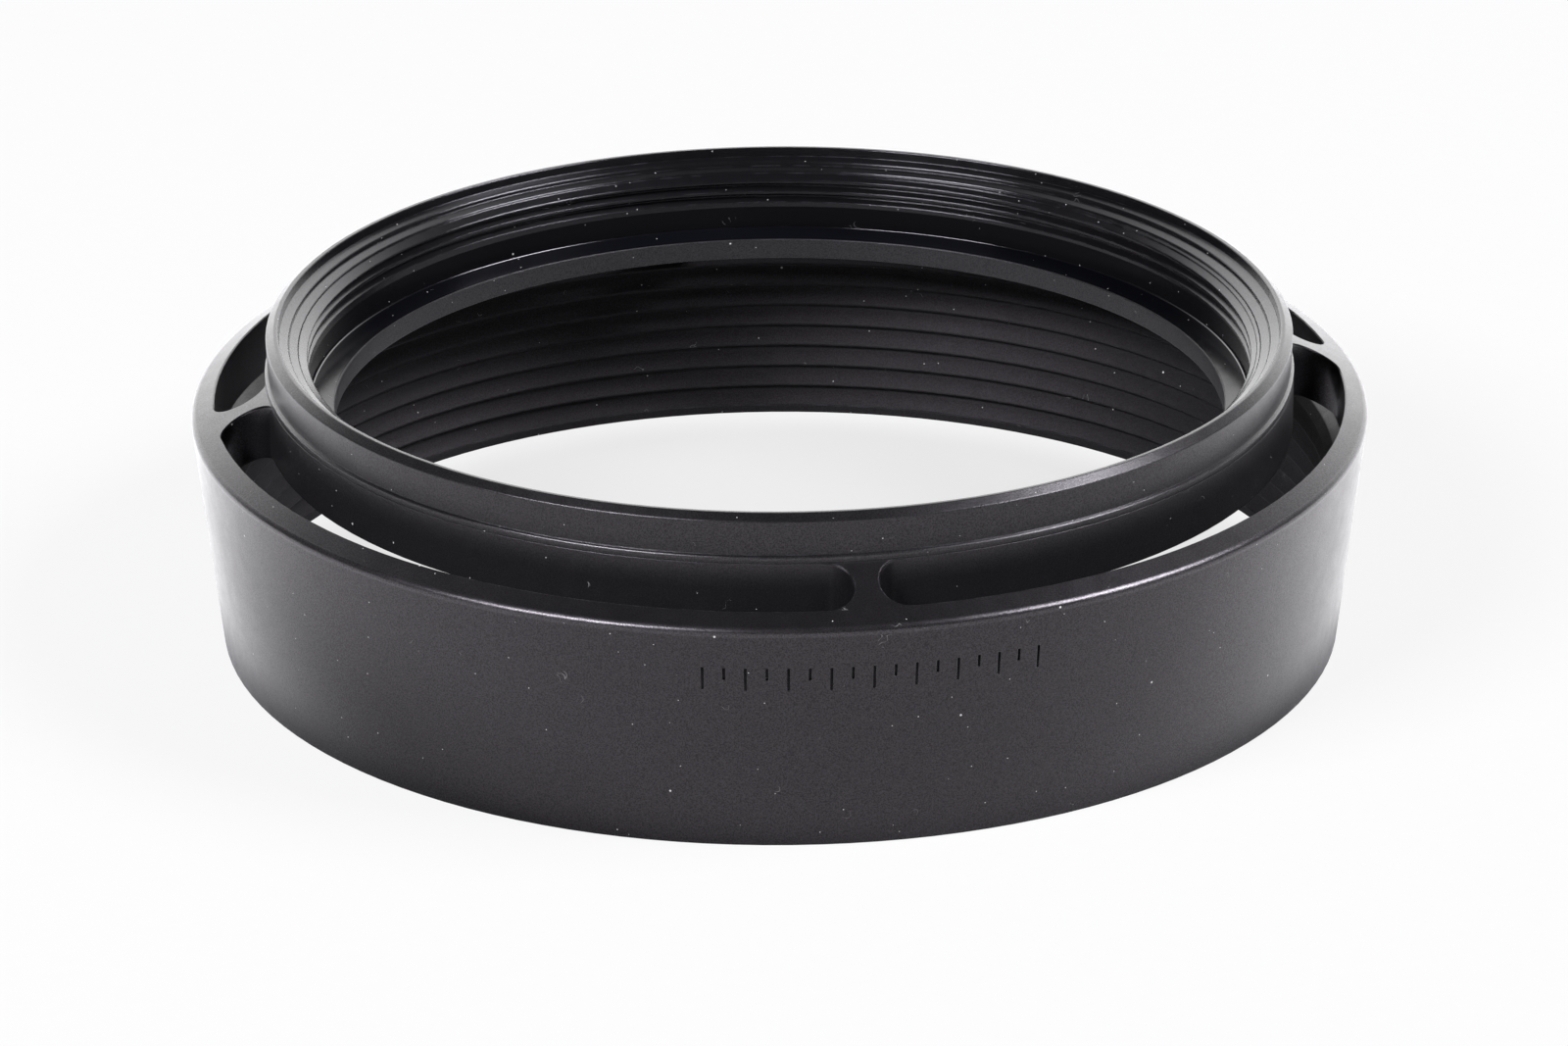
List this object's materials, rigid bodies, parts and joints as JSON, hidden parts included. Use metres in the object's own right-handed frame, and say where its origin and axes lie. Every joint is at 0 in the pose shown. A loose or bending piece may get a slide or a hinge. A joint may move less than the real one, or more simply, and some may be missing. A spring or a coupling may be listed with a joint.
{
  "type": "lens hood",
  "caption": "Round vented screw-on lens hood: tapered outer wall ribbed inside, conical flange with vent slots, internally threaded mount neck.",
  "frame": {"origin": "centre of the front rim's plane, on the optical axis", "axes": "+Z along the optical axis, from the front rim towards the lens; the spokes lie on the X and Y axes and the index scale is on the -Y side"},
  "size_m": [0.074, 0.074, 0.02],
  "materials": {
    "hood_shell": "black anodised, fine bead-blasted satin",
    "stop_ring": "black anodised, matte bore and glossy dished shoulder",
    "mount_ring": "black anodised, satin outside and glossy thread"
  },
  "bodies": {
    "root": {"hood_shell": "hood_shell", "stop_ring": "stop_ring", "mount_ring": "mount_ring"}
  },
  "joints": []
}
